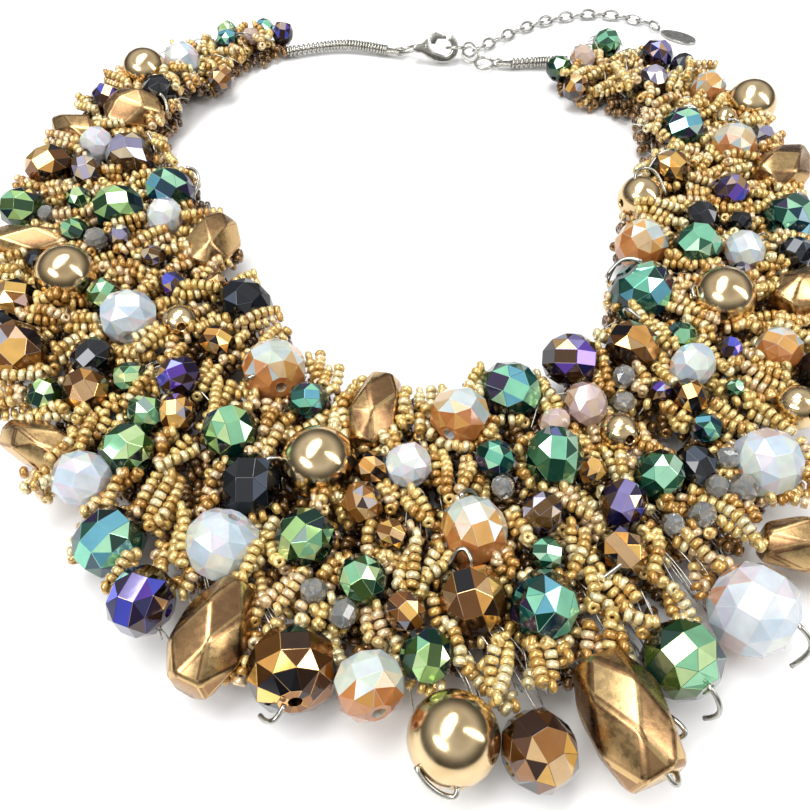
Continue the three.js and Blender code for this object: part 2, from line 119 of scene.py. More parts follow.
def speckle(nodes, links, shader, size, depth):
    """Places the shared speckle in a material, feeding its normal, and returns its mask."""
    group = nodes.new("ShaderNodeGroup")
    group.node_tree = SPECKLE
    group.inputs["Size"].default_value = size
    group.inputs["Depth"].default_value = depth
    links.new(group.outputs["Normal"], shader.inputs["Normal"])
    return group.outputs["Mask"]


def ramp(nodes, links, mask, stops, target):
    """Colours or greys a mask through a ramp into a shader's socket."""
    band = nodes.new("ShaderNodeValToRGB")
    while len(band.color_ramp.elements) < len(stops):
        band.color_ramp.elements.new(0.5)
    for element, (where, colour) in zip(band.color_ramp.elements, stops):
        element.position = where
        element.color = colour
    links.new(mask, band.inputs["Fac"])
    links.new(band.outputs["Color"], target)


def grey(value):
    return (value, value, value, 1.0)


def polished_gold():
    material, nodes, links, shader = finish("polished_gold", Metallic=1.0)
    mask = speckle(nodes, links, shader, 260.0, 0.1)
    ramp(nodes, links, mask, [(0.3, paint(208, 180, 134)), (0.7, paint(226, 202, 160))],
         shader.inputs["Base Color"])
    ramp(nodes, links, mask, [(0.35, grey(0.13)), (0.75, grey(0.24))], shader.inputs["Roughness"])
    return material


def aimed(turn, rise):
    """Turns +Z onto the line of a bead's hole, from its bearing and slope in degrees."""
    t, r = math.radians(turn), math.radians(rise)
    way = Vector((math.cos(t) * math.cos(r), math.sin(t) * math.cos(r), math.sin(r)))
    return Vector((0, 0, 1)).rotation_difference(way).to_matrix().to_4x4()


def centre_on(shape, middle):
    """Moves a mesh in the making so that its box's middle is at a place."""
    lowest = Vector([min(v.co[i] for v in shape.verts) for i in range(3)])
    highest = Vector([max(v.co[i] for v in shape.verts) for i in range(3)])
    bmesh.ops.translate(shape, verts=shape.verts, vec=middle - (lowest + highest) / 2)


def rounded(shape, edges, offset, segments=3):
    """Rounds edges of a mesh in the making over, and returns the faces that this makes."""
    made = bmesh.ops.bevel(shape, geom=edges, offset=offset, segments=segments, profile=0.5,
                           affect="EDGES", material=-1, clamp_overlap=True)
    return set(made["faces"])


def linked(name, data):
    """A new object for some data, linked into the scene."""
    made = bpy.data.objects.new(name, data)
    bpy.context.scene.collection.objects.link(made)
    return made


def make_piece(name, shape, materials, nodes, body="necklace", smooth=True):
    """A finished mesh becomes a piece of the necklace that stands for its CAD nodes."""
    mesh = bpy.data.meshes.new(name)
    shape.to_mesh(mesh)
    shape.free()
    for material in materials:
        mesh.materials.append(material)
    mesh.polygons.foreach_set("use_smooth", [smooth] * len(mesh.polygons))
    piece = linked(name, mesh)
    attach(piece, body)
    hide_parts(*nodes)
    return piece


def spun(profile, steps):
    """A closed profile of (out, up) pairs spun once round Z."""
    shape = bmesh.new()
    corners = [shape.verts.new((out, 0, up)) for out, up in profile]
    edges = [shape.edges.new((corners[i], corners[(i + 1) % len(corners)])) for i in range(len(corners))]
    bmesh.ops.spin(shape, geom=corners + edges, axis=(0, 0, 1), cent=(0, 0, 0), steps=steps,
                   angle=math.tau, use_merge=True)
    bmesh.ops.remove_doubles(shape, verts=shape.verts, dist=1e-7)
    bmesh.ops.recalc_face_normals(shape, faces=shape.faces)
    return shape


def ball_shape(width, hole, turn, rise):
    """A drilled ball: round outside, a turned-in rim and a straight bore."""
    radius = width / 2
    start = math.asin(hole / radius)
    rows = 22
    profile = [(math.sin(start + (math.pi - 2 * start) * i / rows) * radius,
                -math.cos(start + (math.pi - 2 * start) * i / rows) * radius) for i in range(rows + 1)]
    rim = radius * math.cos(start)
    profile += [(hole * 0.86, rim * 0.965), (hole * 0.8, rim * 0.9), (hole * 0.8, -rim * 0.9),
                (hole * 0.86, -rim * 0.965)]
    shape = spun(profile, 40)
    bmesh.ops.transform(shape, matrix=aimed(turn, rise), verts=shape.verts)
    return shape


# name, width in mm, bearing and slope of the hole in degrees
GOLD_BALLS = [
    ("gold_ball_1", 13, 60, 0), ("gold_ball_2", 14, 20, 0), ("gold_ball_3", 14, 30, 0),
    ("gold_ball_4", 14, -85, -8), ("gold_ball_5", 14, 175, 5), ("gold_ball_6", 11, 20, 0),
    ("gold_ball_7", 13.5, 100, 0),
]
gold_finish = polished_gold()
for name, width, turn, rise in GOLD_BALLS:
    shape = ball_shape(width * MM, 1.1 * MM, turn, rise)
    centre_on(shape, node_middle(name))
    make_piece(f"{name}_plated", shape, [gold_finish], [name])

# ---------------------------------------------------------------- gold nuggets
# Eleven cast nuggets with big uneven flats and worn round edges. The plate is a satin champagne
# gold that turns pinker and brighter where the edges rub.
# name, width and length in mm, bearing and slope of its long side, seed of its lumps
GOLD_NUGGETS = [
    ("gold_nugget_1", 14.5, 16, 20, 0, 1), ("gold_nugget_2", 11.5, 14, -30, 0, 2),
    ("gold_nugget_3", 13, 16, 75, 10, 3), ("gold_nugget_4", 12.5, 21, 5, 0, 4),
    ("gold_nugget_5", 11, 16.5, -25, 0, 5), ("gold_nugget_6", 13, 19, 70, 0, 6),
    ("gold_nugget_7", 12, 16.5, 75, 5, 7), ("gold_nugget_8", 15.5, 20, 110, 0, 8),
    ("gold_nugget_9", 12.5, 21.5, -5, 0, 9), ("gold_nugget_10", 14.5, 17, 35, 0, 10),
    ("gold_nugget_11", 15.5, 17, 40, 0, 11),
]


def tint_faces(shape, chooser):
    """Gives each face of a mesh in the making its own colour, kept as the tint attribute."""
    layer = shape.faces.layers.float_color.get("tint") or shape.faces.layers.float_color.new("tint")
    for face in shape.faces:
        face[layer] = chooser(face)


def tinted_speckle(nodes, links, mask, dark, target):
    """Multiplies the colour that each face carries by a soft speckle between dark and plain."""
    attribute = nodes.new("ShaderNodeAttribute")
    attribute.attribute_name = "tint"
    mixer = nodes.new("ShaderNodeMix")
    mixer.data_type = "RGBA"
    mixer.blend_type = "MULTIPLY"
    mixer.inputs["Factor"].default_value = 1.0
    band = nodes.new("ShaderNodeMapRange")
    band.inputs["From Min"].default_value = 0.3
    band.inputs["From Max"].default_value = 0.7
    band.inputs["To Min"].default_value = dark
    links.new(mask, band.inputs["Value"])
    links.new(attribute.outputs["Color"], mixer.inputs["A"])
    links.new(band.outputs["Result"], mixer.inputs["B"])
    links.new(mixer.outputs["Result"], target)


def satin_gold():
    material, nodes, links, shader = finish("satin_gold", Metallic=1.0)
    mask = speckle(nodes, links, shader, 900.0, 0.12)
    tinted_speckle(nodes, links, mask, 0.86, shader.inputs["Base Color"])
    ramp(nodes, links, mask, [(0.3, grey(0.2)), (0.7, grey(0.34))], shader.inputs["Roughness"])
    return material


def nugget_shape(width, length, turn, rise, seed):
    """A cast lump: the hull of four uneven rings of corners, its edges rounded over."""
    dice = random.Random(seed * 7 + 3)
    shape = bmesh.new()
    for order, (out, up) in enumerate(((0.62, -0.96), (1.0, -0.36), (0.96, 0.38), (0.6, 0.97))):
        for i in range(6):
            angle = (i + order % 2 / 2 + dice.uniform(-0.16, 0.16)) / 6 * math.tau
            reach = out * dice.uniform(0.86, 1.04)
            shape.verts.new((math.cos(angle) * reach * width / 2, math.sin(angle) * reach * width * 0.46,
                             (up + dice.uniform(-0.08, 0.03)) * length / 2))
    hull = bmesh.ops.convex_hull(shape, input=shape.verts)
    spare = {v for v in hull["geom_interior"] + hull["geom_unused"] if isinstance(v, bmesh.types.BMVert)}
    bmesh.ops.delete(shape, geom=list(spare), context="VERTS")
    bmesh.ops.dissolve_limit(shape, angle_limit=0.3, verts=shape.verts, edges=shape.edges)
    edge_faces = rounded(shape, shape.edges[:] + shape.verts[:], width * 0.05)
    plain = [paint(196, 162, 112), paint(170, 134, 94), paint(208, 176, 124), paint(150, 116, 82)]
    tint_faces(shape, lambda face: paint(218, 178, 134) if face in edge_faces else dice.choice(plain))
    bmesh.ops.recalc_face_normals(shape, faces=shape.faces)
    bmesh.ops.transform(shape, matrix=aimed(turn, rise), verts=shape.verts)
    return shape


nugget_finish = satin_gold()
for name, width, length, turn, rise, seed in GOLD_NUGGETS:
    shape = nugget_shape(width * MM, length * MM, turn, rise, seed)
    centre_on(shape, node_middle(name))
    make_piece(f"{name}_cast", shape, [nugget_finish], [name])

# ---------------------------------------------------------------- large cut crystals
# Drilled glass beads cut with rows of flat facets. Most have a thin metal coat fired on one
# side, and each facet is painted by how it faces a painted light: facets facing it are a painted
# highlight in mint or sky blue, the next ones painted shade in bottle green, purple or black.
# Each cut's colours: painted highlights for facets that face the painted light, mid tones for those that
# stand, and painted shade for those underneath
CUTS = {
    "green": ([(176, 220, 140), (140, 206, 160), (206, 236, 170)],
              [(40, 78, 44), (26, 64, 52), (66, 94, 38), (20, 44, 56)],
              [(8, 22, 14), (14, 34, 20), (10, 18, 34)]),
    "teal": ([(150, 228, 190), (120, 206, 176), (176, 236, 196), (110, 184, 206)],
             [(18, 80, 66), (24, 92, 84), (22, 62, 80), (14, 58, 46), (56, 44, 80)],
             [(2, 24, 26), (4, 16, 20), (10, 40, 34)]),
    "mint": ([(166, 226, 190), (130, 206, 170), (196, 236, 206)],
             [(40, 96, 70), (28, 76, 60), (70, 120, 78)],
             [(8, 36, 28), (6, 24, 20), (18, 50, 32)]),
    "copper": ([(255, 206, 110), (246, 180, 90), (226, 184, 134)],
               [(124, 78, 32), (70, 46, 30), (32, 30, 36), (150, 98, 42)],
               [(34, 14, 6), (14, 12, 16), (22, 22, 30), (56, 26, 8)]),
    "smoky": ([(196, 190, 214), (160, 156, 190), (226, 206, 170)],
              [(84, 60, 40), (112, 80, 36), (60, 54, 76), (56, 42, 30)],
              [(26, 16, 10), (32, 18, 42), (40, 24, 10)]),
    "purple": ([(84, 92, 214), (96, 60, 170), (196, 160, 110), (150, 140, 200)],
               [(40, 28, 60), (84, 56, 28), (60, 36, 26), (28, 28, 84)],
               [(16, 6, 18), (36, 16, 6), (20, 14, 16)]),
    "amber": ([(255, 200, 104), (236, 196, 140), (186, 186, 200)],
              [(140, 84, 28), (100, 58, 22), (64, 40, 26), (166, 108, 44)],
              [(44, 18, 4), (28, 12, 6), (34, 16, 30)]),
    "black": ([(64, 72, 86), (24, 28, 34)],
              [(8, 10, 13), (5, 6, 8), (14, 17, 21)],
              [(3, 4, 5), (5, 6, 8)]),
    "opal": ([(232, 242, 250), (214, 232, 246), (240, 236, 246), (236, 246, 238)],
             [(204, 222, 238), (226, 208, 206), (198, 220, 230), (216, 222, 238)],
             [(236, 196, 168), (210, 198, 206), (230, 180, 146)]),
    "honey": ([(226, 238, 240), (240, 230, 204), (222, 236, 222)],
              [(236, 180, 100), (226, 194, 146), (216, 164, 90), (198, 214, 214)],
              [(216, 146, 84), (200, 128, 68)]),
    "clear": ([(222, 218, 208), (200, 206, 210)], [(150, 140, 120), (176, 164, 136)],
              [(90, 78, 58), (110, 96, 70)]),
    "blush": ([(240, 214, 192), (230, 206, 206)], [(206, 160, 124), (176, 130, 96)],
              [(120, 76, 44), (150, 100, 60)]),
}
# How metallic, how rough, how clear and how milky each cut is
CUT_FINISH = {
    "green": (0.45, 0.05, 0.1, 0.0), "teal": (0.5, 0.05, 0.05, 0.0), "mint": (0.4, 0.05, 0.05, 0.0),
    "copper": (0.8, 0.1, 0.0, 0.0), "smoky": (0.2, 0.04, 0.35, 0.0), "purple": (0.45, 0.05, 0.1, 0.0),
    "amber": (0.2, 0.05, 0.35, 0.0), "black": (0.0, 0.05, 0.0, 0.0), "opal": (0.0, 0.08, 0.3, 0.5),
    "honey": (0.0, 0.08, 0.3, 0.35), "clear": (0.0, 0.03, 0.75, 0.0), "blush": (0.1, 0.06, 0.35, 0.2),
}
MILKY_CUTS = ("opal", "honey", "clear", "blush")
# Where the painted light on the facets comes from: from the front and above, and for honey cuts from
# behind and above
PAINTED_LIGHT_FROM_FRONT = Vector((0.1, -0.5, 0.86)).normalized()
PAINTED_LIGHT_FROM_BEHIND = Vector((0.1, 0.6, 0.8)).normalized()


# Rows of corners from end to end: share of the radius, share of the half length, part of a step
CRYSTAL_ROWS = [(0.38, -1.0, 0), (0.82, -0.7, 0.5), (1.0, -0.27, 0), (1.0, 0.27, 0), (0.82, 0.7, 0.5),
                (0.38, 1.0, 0)]


def crystal_glass(cut):
    metallic, rough, clearness, milk = CUT_FINISH[cut]
    coat, ior = (0.35, 1.45) if cut == "black" else (0.6, 1.55)
    material, nodes, links, shader = finish(
        f"{cut}_crystal_glass", Metallic=metallic, Roughness=rough, Transmission_Weight=clearness,
        Subsurface_Weight=milk, Subsurface_Scale=2 * MM, Coat_Weight=coat, Coat_Roughness=0.03, IOR=ior)
    mask = speckle(nodes, links, shader, 320.0, 0.03)
    tinted_speckle(nodes, links, mask, 0.8, shader.inputs["Base Color"])
    return material


def crystal_shape(width, length, sides, cut, turn, rise, seed, hole=True):
    """A faceted bead: the hull of rows of corners, drilled at both ends and tinted by facet with painted
    highlights, mid tones and painted shade.
    """
    dice = random.Random(seed)
    shape = bmesh.new()
    for out, up, step in CRYSTAL_ROWS:
        for i in range(sides):
            angle = (i + step) / sides * math.tau
            shape.verts.new((math.cos(angle) * width / 2 * out, math.sin(angle) * width / 2 * out,
                             length / 2 * up))
    bmesh.ops.convex_hull(shape, input=shape.verts)
    bmesh.ops.dissolve_limit(shape, angle_limit=0.2, verts=shape.verts, edges=shape.edges)
    caps = [f for f in shape.faces if abs(f.normal.z) > 0.95]
    if hole:
        bore = min(1.0 * MM, width * 0.1)
        for cap in caps:
            flat = width * CRYSTAL_ROWS[0][0] / 2 * math.cos(math.pi / sides)
            bmesh.ops.inset_individual(shape, faces=[cap], thickness=flat - bore)
            pushed = bmesh.ops.extrude_discrete_faces(shape, faces=[cap])["faces"][0]
            depth = -math.copysign(length * 0.3, pushed.normal.z)
            bmesh.ops.translate(shape, verts=pushed.verts, vec=(0, 0, depth))
    painted_highlight_tones, side_tones, painted_shade_tones = CUTS[cut]
    highlight_line, shade_line = (0.3, -0.2) if cut in MILKY_CUTS else (0.82, 0.3)
    painted_light_way = PAINTED_LIGHT_FROM_FRONT
    if cut == "honey":
        painted_light_way, highlight_line, shade_line = PAINTED_LIGHT_FROM_BEHIND, 0.55, 0.1
    bmesh.ops.transform(shape, matrix=aimed(turn, rise), verts=shape.verts)
    bmesh.ops.recalc_face_normals(shape, faces=shape.faces)
    edge_faces = rounded(shape, shape.edges[:], width * 0.003, segments=1)

    def choose(face):
        # How much each facet faces the painted light, with some chance: this picks a painted highlight, a
        # mid tone or painted shade
        painted_lit = face.normal.dot(painted_light_way) + dice.uniform(-0.35, 0.35)
        # Bevelled edges are painted with the darkest painted shade tone, or the first mid tone on milky
        # cuts
        if face in edge_faces:
            return paint(*(side_tones[0] if cut in MILKY_CUTS else painted_shade_tones[0]))
        if painted_lit > highlight_line:
            return paint(*dice.choice(painted_highlight_tones))
        if painted_lit > shade_line:
            return paint(*dice.choice(side_tones))
        return paint(*dice.choice(painted_shade_tones))

    tint_faces(shape, choose)
    return shape


# name, cut, width and length in mm, sides, bearing and slope of the hole
LARGE_CRYSTALS = [
    ("smoky_crystal_1", "smoky", 12.4, 11, 9, 100, 20), ("smoky_crystal_2", "amber", 12, 10.5, 9, 30, 0),
    ("teal_crystal_1", "teal", 12.4, 11, 9, 50, 35), ("teal_crystal_2", "teal", 12.4, 11, 9, 140, 10),
    ("teal_crystal_3", "teal", 12.4, 11, 9, 60, 30), ("teal_crystal_4", "teal", 14.4, 12, 10, 150, 45),
    ("teal_crystal_5", "teal", 12.4, 11, 9, 40, 0), ("copper_crystal_1", "copper", 12.4, 11, 9, 100, 0),
    ("copper_crystal_2", "copper", 14.4, 12, 10, -80, 15),
    ("copper_crystal_3", "copper", 12.4, 11, 9, 10, 15),
    ("black_crystal_1", "black", 12.4, 11, 9, 60, 0), ("black_crystal_2", "black", 12.4, 11, 9, 0, 0),
    ("black_crystal_3", "black", 13, 11.5, 9, 60, 0), ("amber_crystal_1", "amber", 13.2, 11.5, 9, 40, 20),
    ("opal_1", "honey", 13, 11.5, 10, -70, 10), ("opal_2", "opal", 13, 11.5, 10, 50, 50),
    ("opal_3", "honey", 12.4, 11, 10, 20, 0), ("opal_4", "opal", 15.4, 13.5, 10, -40, 5),
    ("opal_5", "opal", 13, 12.4, 10, 15, 0), ("opal_6", "honey", 12, 11, 10, 60, 15),
    ("opal_7", "honey", 12, 11, 10, 120, 25), ("green_crystal_1", "green", 13, 11.5, 9, -60, 5),
]
glass = {cut: crystal_glass(cut) for cut in CUTS}
for index, (name, cut, width, length, sides, turn, rise) in enumerate(LARGE_CRYSTALS):
    shape = crystal_shape(width * MM, length * MM, sides, cut, turn, rise, index + 40)
    centre_on(shape, node_middle(name))
    make_piece(f"{name}_cut", shape, [glass[cut]], [name], smooth=False)

# ---------------------------------------------------------------- small crystals
# About a hundred smaller beads strung on the mesh's own wire between the large ones: cut
# crystals in the same coats with the same painted highlights and painted shade, little gold balls and
# clear or smoky rounds.
# x, y, z and width in mm, and the cut
SMALL_BEADS = [
    (-38.5, 153, 4.5, 6.5, "purple"), (-44.5, 156, 4.5, 5.5, "teal"), (-48, 150, 5, 5, "blush"),
    (-56, 154, 4.5, 6, "green"), (-55, 147, 5, 6.5, "teal"), (-54, 125, 5, 7, "amber"),
    (-66, 131.5, 7, 10, "opal"), (-69, 112.5, 8, 9, "black"), (-83, 109, 8, 8, "purple"),
    (-80, 86, 9, 8, "opal"), (-90, 77, 8, 11, "copper"), (-80, 75, 8, 8, "smoky"),
    (-92.5, 61, 7.5, 10, "green"), (-86, 58.5, 8, 4, "clear"), (-79.5, 64, 8, 6, "green"),
    (-68.5, 59, 9, 11, "green"), (-57, 56.5, 9, 8, "opal"), (-77, 51, 9, 6, "green"),
    (-71.5, 48, 9, 5, "clear"), (-66, 49, 9, 5, "smoky"), (-57, 42, 9, 5, "smoky"),
    (-83.5, 41, 9, 4, "black"), (-86.5, 20.5, 7, 9.5, "black"), (-58.5, 22.5, 9, 11, "opal"),
    (-66, 30.5, 8, 7, "green"), (-51, 33.5, 8, 6, "purple"), (-47.5, 21.5, 8.5, 7, "gold"),
    (-42, 35, 7, 5, "copper"), (-39, 16, 8, 7, "copper"), (-64, 12, 8, 8, "black"),
    (-62.5, 2.5, 8.5, 9, "copper"), (-55, 6.5, 8, 6.5, "green"), (-71, 2, 8, 6.5, "green"),
    (-50, -3, 8.5, 7, "green"), (-45, 6, 9, 8, "purple"), (-44, -3, 8.5, 7, "amber"),
    (-58.5, -18, 8.5, 10, "opal"), (-51.5, -12, 9, 9.5, "green"), (-33, -8, 9, 10, "green"),
    (-19, 0, 9, 7, "teal"), (-43, -42, 8.5, 10.5, "purple"), (-6, -16, 9, 6, "copper"),
    (0.5, -15.5, 9, 8, "opal"), (-7.5, -23.5, 9, 7, "amber"), (-2.5, -30, 9, 5.5, "copper"),
    (-17, -30.5, 9, 9.5, "green"), (-7, -38.5, 9, 8, "green"), (-15, -40.5, 9, 4.2, "clear"),
    (-10, -44.5, 9, 4.5, "clear"), (0, -44, 9, 6.5, "amber"), (-5.5, -56, 8.5, 10, "honey"),
    (3.3, -51.5, 9, 8, "green"), (10.5, -4, 9, 10.5, "honey"), (28.5, -5.5, 9, 5.5, "blush"),
    (35, -1, 9, 8, "blush"), (33.5, 10.5, 9, 10.5, "purple"), (43.5, 6, 9, 4.5, "clear"),
    (42.5, -0.5, 9, 4, "clear"), (40.5, -8, 9, 7, "gold"), (27.5, -13.7, 9, 10.5, "mint"),
    (16.5, -14, 9, 7, "teal"), (24, -25.5, 9, 7, "smoky"), (17.5, -20.5, 9.5, 4, "clear"),
    (24, -33.5, 9, 5.5, "mint"), (38.5, -23.5, 9, 8, "purple"), (37, -33, 8.5, 8, "copper"),
    (34, -16.7, 9, 5, "amber"), (22.5, -43, 9, 10.5, "teal"), (46.5, 14, 9, 10, "copper"),
    (50, 2, 9, 4.5, "purple"), (55.5, 0.5, 9, 7, "copper"), (57, -7, 9, 5.5, "teal"),
    (46, -17.5, 9, 8.5, "mint"), (53.5, -15, 8, 7.5, "black"), (59, -14.5, 10, 4, "clear"),
    (56, -20, 9, 4, "clear"), (60.5, -20.5, 9, 5, "clear"), (52, -26, 9, 4.5, "clear"),
    (46.5, -28, 9, 4, "clear"), (76, -1.5, 8.5, 8, "gold"), (58, 9, 9, 8.5, "opal"),
    (58, 18, 8, 6, "green"), (65, 3, 9, 3.5, "mint"), (66.5, 13.5, 9, 5, "purple"),
    (77, 14, 8.5, 8.5, "honey"), (67, 45.5, 9, 10, "mint"), (77.5, 44, 9, 8.5, "opal"),
    (75, 37.5, 9, 3.5, "smoky"), (89, 43.5, 8, 8, "black"), (70, 55.5, 9, 8, "black"),
    (79, 54, 9, 5, "black"), (79, 65.5, 9, 8.5, "purple"), (66.5, 75, 9, 9, "copper"),
    (74, 94, 8.5, 10.5, "teal"), (93.5, 90, 8, 7, "smoky"), (86.5, 99, 8, 6, "gold"),
    (86, 115.5, 7.5, 9, "honey"), (71, 119.5, 7.5, 8, "smoky"), (77.5, 122, 7, 4, "honey"),
    (82, 130, 6, 7, "black"), (75.5, 136, 6, 9, "purple"), (62, 144.5, 5.5, 8, "mint"),
    (53.5, 136.5, 5, 7.5, "blush"), (46, 131.5, 4.5, 7, "green"), (49.5, 120, 5, 7, "amber"),
]
# Where one length of mesh ends and the next begins, as the middle of each seam, x and y
MESH_SEAMS = [(-75, 114), (-70, 53), (-46, -2), (0, -26), (50, -8), (73, 42), (82, 99)]


def mesh_length(x, y):
    """Which of the eight lengths of mesh a place belongs to, counted from the left end."""
    bearing = (math.degrees(math.atan2(y - 70, x)) - 95) % 360
    seams = [(math.degrees(math.atan2(sy - 70, sx)) - 95) % 360 for sx, sy in MESH_SEAMS]
    return sum(bearing > seam for seam in seams) + 1


def add_shape(joined, shape, material_index):
    """Adds a finished shape to a joined one, keeping its tints and its material."""
    for face in shape.faces:
        face.material_index = material_index
    spare = bpy.data.meshes.new("spare")
    shape.to_mesh(spare)
    shape.free()
    joined.from_mesh(spare)
    bpy.data.meshes.remove(spare)


SMALL_RAISE = 1.6  # mm that the small beads sit above their wires
SMALL_SCALE = 1.1  # drawn this much over the width that shows between the ropes
cuts = list(CUTS)
small_by_length = {}
for index, (x, y, z, width, cut) in enumerate(SMALL_BEADS):
    small_by_length.setdefault(mesh_length(x, y), []).append((index, x, y, z, width, cut))
for order, beads in sorted(small_by_length.items()):
    joined = bmesh.new()
    joined.faces.layers.float_color.new("tint")
    for index, x, y, z, width, cut in beads:
        turn, rise = index * 67 % 180, index * 29 % 50 - 10
        width *= SMALL_SCALE
        if cut == "gold":
            shape = ball_shape(width * MM, 1.0 * MM, -70, 30)
            tint_faces(shape, lambda face: paint(232, 214, 172))
            material_index = len(cuts)
        else:
            sides = 8 if width > 7 else 7
            shape = crystal_shape(width * MM, width * 0.88 * MM, sides, cut, turn, rise, index, width > 5)
            material_index = cuts.index(cut)
        bmesh.ops.translate(shape, verts=shape.verts, vec=charted(x, y, z + SMALL_RAISE))
        add_shape(joined, shape, material_index)
    make_piece(f"small_crystals_{order}", joined, [glass[c] for c in cuts] + [gold_finish],
               [f"bead_mesh_{order}"], smooth=False)

# ---------------------------------------------------------------- seed beads
# About ten thousand silver-lined gold seed beads, strung on wire and crocheted in twisted
# loops that fill the spaces between the larger beads, four layers deep; the two lower layers are painted
# darker as painted shade.
SEED_WIDTH = 2.5 * MM
SEED_STEP = 1.5  # mm from bead to bead along a string
OWN_GAP = 1.15  # mm, the least between seed beads of one string
OTHER_GAP = 1.85  # mm, the least between seed beads of two strings
SEED_FLOOR, SEED_CEILING = 1.1, 12.5  # mm, the heights that seed beads keep between
WHOLE_ENOUGH = 0.7  # a loop of an upper layer is left out if less than this share of it fits
CELL, BEAD_CELL = 2, 8  # mm, the grids that seed beads and larger beads are looked up on
CLEARANCE = 0.85  # mm kept from the side of a larger bead to the middle of a seed bead
CROWN = 0.85  # the share of a larger bead's reach over which no seed bead lies on top of it
# Ribs across the collar, left end to right end: x, y at the neck edge, x, y at the outer edge
RIBS = [
    (-37, 146, -38, 155), (-45, 141, -52, 159), (-50, 133, -66, 152), (-53, 121, -80, 135),
    (-62, 109, -89, 119), (-64, 95, -96, 100), (-60, 82, -97, 84), (-50, 70, -99, 66),
    (-40, 57, -100, 50), (-34, 44, -97, 36), (-28, 32, -92, 20), (-22, 19, -88, 4),
    (-14, 11, -78, -14), (-6, 7, -62, -31), (0, 6, -46, -46), (6, 6, -30, -56),
    (12, 8, -12, -60), (18, 10, 8, -61), (26, 13, 26, -61), (34, 17, 44, -53),
    (41, 21, 60, -36), (44, 32, 74, -26), (46, 40, 78, -9), (48, 48, 91, 8),
    (50, 56, 96, 28), (52, 64, 98, 46), (56, 73, 100, 60), (61, 82, 101, 74),
    (62, 90, 101, 88), (62, 98, 102, 100), (64, 107, 98, 114), (56, 116, 90, 127),
    (46, 118, 80, 139), (44, 127, 66, 149), (50.6, 136, 55, 148),
]
# Seed layers from the top down: height in mm, loops started, and 1 where the layer is painted in darker
# tones as painted shade (0 for the beads' own tones)
SEED_LAYERS = [(10.2, 1500, 0), (8.0, 1300, 0), (5.6, 700, 1), (3.2, 700, 1)]


def on_collar(along, across):
    """A place on the collar from how far it is along the ribs and across from the neck edge."""
    rib = min(int(along), len(RIBS) - 2)
    part = along - rib
    a, b = RIBS[rib], RIBS[rib + 1]
    near = (a[0] + (b[0] - a[0]) * part, a[1] + (b[1] - a[1]) * part)
    far = (a[2] + (b[2] - a[2]) * part, a[3] + (b[3] - a[3]) * part)
    return near[0] + (far[0] - near[0]) * across, near[1] + (far[1] - near[1]) * across


def pulled_in(rib, near, far):
    """The two ends of a rib, each moved inward by so many mm."""
    start, end = Vector(rib[:2]), Vector(rib[2:])
    way = (end - start).normalized()
    return tuple(start + way * near), tuple(end - way * far)


pulled = [pulled_in(rib, 0.8, 1.8) for rib in RIBS]
COLLAR = [rib[0] for rib in pulled] + [rib[1] for rib in reversed(pulled)]


def inside_collar(x, y):
    """True where a place is within the collar's outline."""
    within = False
    for i, (ax, ay) in enumerate(COLLAR):
        bx, by = COLLAR[i - 1]
        if (ay > y) != (by > y) and x < ax + (bx - ax) * (y - ay) / (by - ay):
            within = not within
    return within


def solid_beads():
    """Every larger bead as a place and a reach in mm, for the seed beads to lie round."""
    beads = []
    for name, *_ in GOLD_BALLS + GOLD_NUGGETS + LARGE_CRYSTALS:
        lowest, highest = (Vector(corner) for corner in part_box(name))
        size = (highest - lowest) / MM
        beads.append((((lowest + highest) / 2 - CHART) / MM, (size.x + size.y + size.z) / 6))
    return beads + [(Vector((x, y, z + SMALL_RAISE)), width / 2 * SMALL_SCALE)
                    for x, y, z, width, _ in SMALL_BEADS]


BEADS = solid_beads()
bead_cells = {}
for place, reach in BEADS:
    low_i, high_i = (int((place.x + far) // BEAD_CELL) for far in (-reach - 3, reach + 3))
    low_j, high_j = (int((place.y + far) // BEAD_CELL) for far in (-reach - 3, reach + 3))
    for i in range(low_i, high_i + 1):
        for j in range(low_j, high_j + 1):
            bead_cells.setdefault((i, j), []).append((place, reach))


def pushed_clear(place):
    """Slides a seed bead out of any larger bead that it would sit in, or gives it up."""
    for _ in range(3):
        moved = False
        for middle, reach in bead_cells.get((int(place.x // BEAD_CELL), int(place.y // BEAD_CELL)), []):
            away = place - middle
            if away.z > 0 and math.hypot(away.x, away.y) < reach * CROWN:
                return None
            short = reach + CLEARANCE - away.length
            if short > 0:
                place = place + Vector((away.x, away.y, away.z * 0.4)).normalized() * (short + 0.05)
                moved = True
        if not moved:
            return place
    return None


seed_cells = {}


def seed_cell(place):
    return int(place.x // CELL), int(place.y // CELL), int(place.z // CELL)


def room_for(place, string):
    """True if no other seed bead is too near."""
    cell = seed_cell(place)
    for i in (-1, 0, 1):
        for j in (-1, 0, 1):
            for k in (-1, 0, 1):
                for other, owner in seed_cells.get((cell[0] + i, cell[1] + j, cell[2] + k), []):
                    if (other - place).length < (OWN_GAP if owner == string else OTHER_GAP):
                        return False
    return True


def loop_route(x, y, level, at_edge, dice):
    """One crocheted loop: a string out from the neck and back, its two sides twisted together."""
    outward = math.atan2(y - 62, x) + dice.uniform(-0.6, 0.6) + (math.pi if at_edge else 0)
    length = dice.uniform(7, 14)
    bend = dice.uniform(-0.05, 0.05)
    twist = dice.uniform(0.25, 0.5) * dice.choice((-1, 1))
    start = dice.uniform(0, math.tau)
    count = int(length / SEED_STEP)
    spine = []
    place = Vector((x, y, level))
    for i in range(count):
        outward += bend
        place = place + Vector((math.cos(outward), math.sin(outward), 0)) * SEED_STEP
        spine.append((place, Vector((-math.sin(outward), math.cos(outward), 0)), start + twist * i))
    sides = [[middle + side * math.cos(turn) * way + Vector((0, 0, 0.9 * math.sin(turn) * way))
              for middle, side, turn in spine] for way in (1.2, -1.2)]
    tip = place + (place - spine[-2][0]) * 0.9
    return sides[0] + [tip] + sides[1][::-1]


